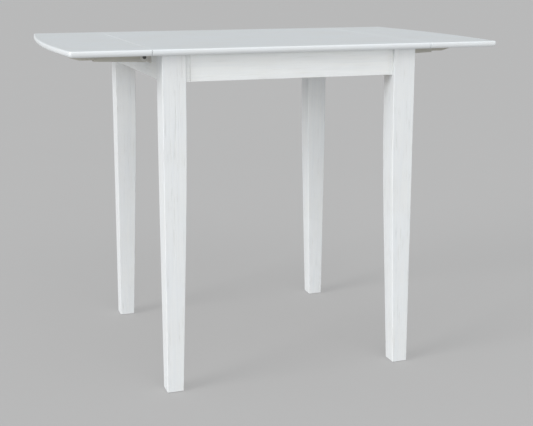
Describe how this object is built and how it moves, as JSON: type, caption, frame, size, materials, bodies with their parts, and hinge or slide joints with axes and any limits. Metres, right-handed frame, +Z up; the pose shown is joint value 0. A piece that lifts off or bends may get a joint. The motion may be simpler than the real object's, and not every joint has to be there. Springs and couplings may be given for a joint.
{
  "type": "drop leaf table",
  "caption": "Counter-height table with a square four-leg frame, tapered legs, and a bow-ended leaf hinged at each end of the top over folding supports.",
  "frame": {"origin": "on the floor, under the middle of the top", "axes": "+X from the left leaf to the right leaf, +Y from front to back, +Z up"},
  "size_m": [1.2192, 0.75, 0.9144],
  "materials": {
    "painted_top": "smooth satin off-white paint",
    "painted_apron": "satin off-white paint over fine brushed grain",
    "brushed_leg": "wire-brushed off-white paint with fine vertical streaks",
    "painted_support": "thin off-white paint",
    "raw_wood": "unpainted hardwood",
    "glide_nylon": "moulded nylon",
    "hinge_steel": "zinc-plated steel",
    "bracket_steel": "off-white painted steel",
    "pin_steel": "black oxide steel",
    "zinc_fastener": "bright zinc plate"
  },
  "bodies": {
    "frame": {"centre_top": "painted_top", "front_apron": "painted_apron", "back_apron": "painted_apron", "left_apron": "painted_apron", "right_apron": "painted_apron", "front_cleat": "raw_wood", "back_cleat": "raw_wood", "left_cleat": "raw_wood", "right_cleat": "raw_wood", "top_screws": "zinc_fastener", "cleat_screws": "zinc_fastener", "corner_block_screws": "zinc_fastener", "hanger_bolts": "zinc_fastener", "hanger_washers": "zinc_fastener", "hanger_nuts": "zinc_fastener", "bracket_screws": "zinc_fastener", "front_left_leg": "brushed_leg", "front_left_glide": "glide_nylon", "front_left_corner_block": "raw_wood", "front_right_leg": "brushed_leg", "front_right_glide": "glide_nylon", "front_right_corner_block": "raw_wood", "back_left_leg": "brushed_leg", "back_left_glide": "glide_nylon", "back_left_corner_block": "raw_wood", "back_right_leg": "brushed_leg", "back_right_glide": "glide_nylon", "back_right_corner_block": "raw_wood", "left_hinge_fixed_flaps": "hinge_steel", "left_hinge_fixed_screws": "zinc_fastener", "left_hinge_pins": "hinge_steel", "left_front_bracket": "bracket_steel", "left_front_pivot_pin": "pin_steel", "left_back_bracket": "bracket_steel", "left_back_pivot_pin": "pin_steel", "right_hinge_fixed_flaps": "hinge_steel", "right_hinge_fixed_screws": "zinc_fastener", "right_hinge_pins": "hinge_steel", "right_front_bracket": "bracket_steel", "right_front_pivot_pin": "pin_steel", "right_back_bracket": "bracket_steel", "right_back_pivot_pin": "pin_steel"},
    "left_leaf_body": {"left_leaf": "painted_top", "left_hinge_leaf_flaps": "hinge_steel", "left_hinge_leaf_screws": "zinc_fastener"},
    "left_front_support": {"left_front_arm": "painted_support"},
    "left_back_support": {"left_back_arm": "painted_support"},
    "right_leaf_body": {"right_leaf": "painted_top", "right_hinge_leaf_flaps": "hinge_steel", "right_hinge_leaf_screws": "zinc_fastener"},
    "right_front_support": {"right_front_arm": "painted_support"},
    "right_back_support": {"right_back_arm": "painted_support"}
  },
  "joints": [
    {"name": "left_leaf_drop", "type": "hinge", "parent": "frame", "child": "left_leaf_body", "pos_m": [-0.3826, 0, 0.8944], "axis": [0, -1, 0], "range_deg": [0, 90]},
    {"name": "left_front_support_fold", "type": "hinge", "parent": "frame", "child": "left_front_support", "pos_m": [-0.36, -0.161, 0.8794], "axis": [0, -1, 0], "range_deg": [0, 90]},
    {"name": "left_back_support_fold", "type": "hinge", "parent": "frame", "child": "left_back_support", "pos_m": [-0.36, 0.161, 0.8794], "axis": [0, -1, 0], "range_deg": [0, 90]},
    {"name": "right_leaf_drop", "type": "hinge", "parent": "frame", "child": "right_leaf_body", "pos_m": [0.3826, 0, 0.8944], "axis": [0, 1, 0], "range_deg": [0, 90]},
    {"name": "right_front_support_fold", "type": "hinge", "parent": "frame", "child": "right_front_support", "pos_m": [0.36, -0.161, 0.8794], "axis": [0, 1, 0], "range_deg": [0, 90]},
    {"name": "right_back_support_fold", "type": "hinge", "parent": "frame", "child": "right_back_support", "pos_m": [0.36, 0.161, 0.8794], "axis": [0, 1, 0], "range_deg": [0, 90]}
  ],
  "couplings": [
    {"joint": "left_front_support_fold", "follows": "left_leaf_drop", "ratio": 1},
    {"joint": "left_back_support_fold", "follows": "left_leaf_drop", "ratio": 1},
    {"joint": "right_front_support_fold", "follows": "right_leaf_drop", "ratio": 1},
    {"joint": "right_back_support_fold", "follows": "right_leaf_drop", "ratio": 1}
  ]
}
